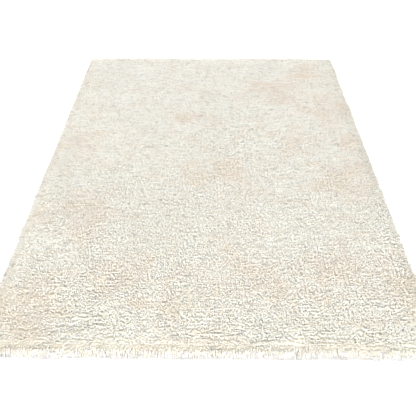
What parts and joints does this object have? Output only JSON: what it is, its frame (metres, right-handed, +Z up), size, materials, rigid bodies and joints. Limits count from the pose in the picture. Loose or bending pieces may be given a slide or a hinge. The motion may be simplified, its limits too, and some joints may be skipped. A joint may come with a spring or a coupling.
{
  "type": "area rug",
  "caption": "Rectangular high-pile area rug: a deep cut pile on a woven jute ground, overcast along its sides and taped at its ends.",
  "frame": {"origin": "centre of the underside, on the floor", "axes": "+X across the width, +Y along the length towards the back end, +Z up out of the pile"},
  "size_m": [1.6, 2.3, 0.042],
  "materials": {
    "pile_yarn": "cream heat-set frise yarn, cut pile, soft and matt",
    "jute": "natural jute yarn, matt",
    "warp_cotton": "undyed cotton-polyester yarn, matt",
    "sizing": "dried latex dressing soaked into jute, low sheen",
    "filler_cord": "twisted cotton cord, matt",
    "edge_yarn": "cream overcasting yarn, slight sheen",
    "hem_tape": "cream cotton herringbone tape, matt",
    "sewing_thread": "cream polyester thread, slight sheen"
  },
  "bodies": {
    "root": {"pile": "pile_yarn", "upper_wefts": "jute", "warp_yarns": "warp_cotton", "lower_wefts": "jute", "back_sizing": "sizing", "corner_tacks": "sewing_thread", "edge_cord_left": "filler_cord", "edge_cord_right": "filler_cord", "overcast_yarn_left": "edge_yarn", "overcast_yarn_right": "edge_yarn", "hem_tape_front": "hem_tape", "hem_tape_back": "hem_tape", "hem_thread_front": "sewing_thread", "hem_thread_back": "sewing_thread"}
  },
  "joints": []
}
